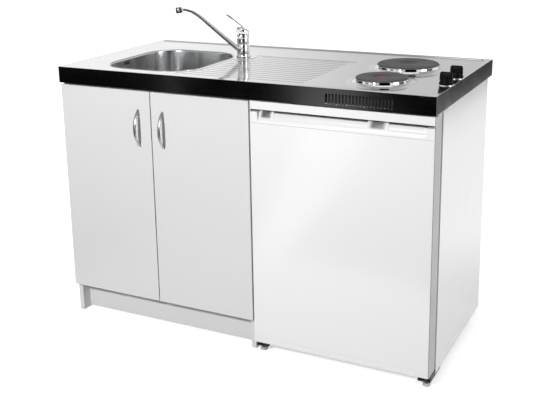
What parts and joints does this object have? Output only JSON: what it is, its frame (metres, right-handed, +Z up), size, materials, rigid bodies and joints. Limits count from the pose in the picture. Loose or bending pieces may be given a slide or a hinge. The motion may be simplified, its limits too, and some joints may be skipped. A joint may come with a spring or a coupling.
{
  "type": "kitchenette unit with sink and hob",
  "caption": "Compact kitchenette: steel worktop with bowl, ribbed drainer, lever tap and electric hotplates, over a two-door cupboard and a small refrigerator.",
  "frame": {"origin": "on the floor, under the middle of the unit's width and depth, the door handles included", "axes": "+X to the unit's right as one faces it, +Y to the back, +Z up; the doors face -Y"},
  "size_m": [1.2, 0.623, 0.9894],
  "materials": {
    "stainless_steel": "bright polished stainless steel sheet with faint drawing marks",
    "bowl_steel": "satin stainless steel",
    "black_edge": "semi-gloss black powder coat",
    "bright_chrome": "polished chrome plate",
    "cast_iron": "dark grey heat-proof coating with turned rings",
    "black_plastic": "fine-grained black",
    "galvanised": "dull zinc coating",
    "white_board": "smooth white melamine on chipboard",
    "satin_nickel": "satin nickel plate",
    "white_plastic": "smooth white",
    "white_skin": "white painted steel skin over foam filling, semi-gloss",
    "pipe_plastic": "white polypropylene",
    "seal": "soft grey vinyl",
    "clear_plastic": "clear moulded polystyrene",
    "shelf_glass": "clear toughened glass",
    "black_paint": "satin black enamel"
  },
  "bodies": {
    "unit": {"worktop_sheet": "stainless_steel", "sink_bowl": "bowl_steel", "edge_front": "black_edge", "edge_left": "black_edge", "edge_right": "black_edge", "hob_tray": "galvanised", "overflow_pipe": "pipe_plastic", "hotplate_rear": "cast_iron", "hotplate_front": "cast_iron", "spill_ring_rear": "bright_chrome", "spill_ring_front": "bright_chrome", "hob_switch_rear": "black_plastic", "hob_switch_front": "black_plastic", "tap_body": "bright_chrome", "drain_cup": "bright_chrome", "bottle_trap": "pipe_plastic", "waste_pipe": "pipe_plastic", "cabinet_side_left": "white_board", "cabinet_side_right": "white_board", "cabinet_floor": "white_board", "cabinet_back": "white_board", "cabinet_rail": "white_board", "plinth": "white_board", "hinge_arm_left_lower": "satin_nickel", "hinge_arm_left_upper": "satin_nickel", "hinge_arm_right_lower": "satin_nickel", "hinge_arm_right_upper": "satin_nickel", "fridge_casing": "white_skin", "fridge_liner": "white_plastic", "glass_shelf": "shelf_glass", "crisper_cover": "shelf_glass", "thermostat_housing": "white_plastic", "fridge_hinge_upper": "galvanised", "fridge_hinge_lower": "black_paint", "fridge_foot_left": "black_paint", "compressor": "black_paint", "condenser": "black_paint"},
    "door_left": {"door_left": "white_board", "handle_left": "satin_nickel", "hinge_cup_left_lower": "satin_nickel", "hinge_cup_left_upper": "satin_nickel"},
    "door_right": {"door_right": "white_board", "handle_right": "satin_nickel", "hinge_cup_right_lower": "satin_nickel", "hinge_cup_right_upper": "satin_nickel"},
    "fridge_door": {"fridge_door_shell": "white_skin", "fridge_door_grip": "white_plastic", "fridge_gasket": "seal", "fridge_door_liner": "white_plastic", "door_bin_lower": "clear_plastic", "door_bin_upper": "clear_plastic"},
    "spout": {"tap_spout": "bright_chrome", "tap_aerator": "bright_chrome"},
    "tap_cap": {"tap_cap": "bright_chrome"},
    "tap_lever": {"tap_lever": "bright_chrome"},
    "knob_rear": {"hob_knob_rear": "black_plastic"},
    "knob_front": {"hob_knob_front": "black_plastic"},
    "thermostat_knob": {"thermostat_knob": "white_plastic"},
    "crisper_drawer": {"crisper_drawer": "clear_plastic"},
    "strainer_basket": {"strainer_basket": "bright_chrome"}
  },
  "joints": [
    {"name": "door_left_hinge", "type": "hinge", "parent": "unit", "child": "door_left", "pos_m": [-0.597, -0.2795, 0.432], "axis": [0, 0, -1], "range_deg": [0, 95]},
    {"name": "door_right_hinge", "type": "hinge", "parent": "unit", "child": "door_right", "pos_m": [0.057, -0.2795, 0.432], "axis": [0, 0, 1], "range_deg": [0, 95]},
    {"name": "fridge_door_hinge", "type": "hinge", "parent": "unit", "child": "fridge_door", "pos_m": [0.586, -0.2585, 0.4], "axis": [0, 0, 1], "range_deg": [0, 120]},
    {"name": "spout_swivel", "type": "hinge", "parent": "unit", "child": "spout", "pos_m": [-0.147, 0.0795, 0.849], "axis": [0, 0, 1], "range_deg": [-120, 120]},
    {"name": "tap_cap_turn", "type": "hinge", "parent": "unit", "child": "tap_cap", "pos_m": [-0.147, 0.0795, 0.9], "axis": [0, 0, 1], "range_deg": [-45, 45]},
    {"name": "tap_lever_lift", "type": "hinge", "parent": "tap_cap", "child": "tap_lever", "pos_m": [-0.147, 0.0795, 0.905], "axis": [-0.5878, 0.809, 0], "range_deg": [0, 25]},
    {"name": "knob_rear_turn", "type": "hinge", "parent": "unit", "child": "knob_rear", "pos_m": [0.578, -0.0265, 0.84], "axis": [0, 0, -1], "range_deg": [0, 300]},
    {"name": "knob_front_turn", "type": "hinge", "parent": "unit", "child": "knob_front", "pos_m": [0.578, -0.1285, 0.84], "axis": [0, 0, -1], "range_deg": [0, 300]},
    {"name": "thermostat_turn", "type": "hinge", "parent": "unit", "child": "thermostat_knob", "pos_m": [0.532, -0.04825, 0.642], "axis": [1, 0, 0], "range_deg": [0, 270]},
    {"name": "crisper_slide", "type": "slide", "parent": "unit", "child": "crisper_drawer", "axis": [0, -1, 0], "range_m": [0, 0.028]},
    {"name": "strainer_lift", "type": "slide", "parent": "unit", "child": "strainer_basket", "axis": [0, 0, 1], "range_m": [0, 0.045]}
  ]
}
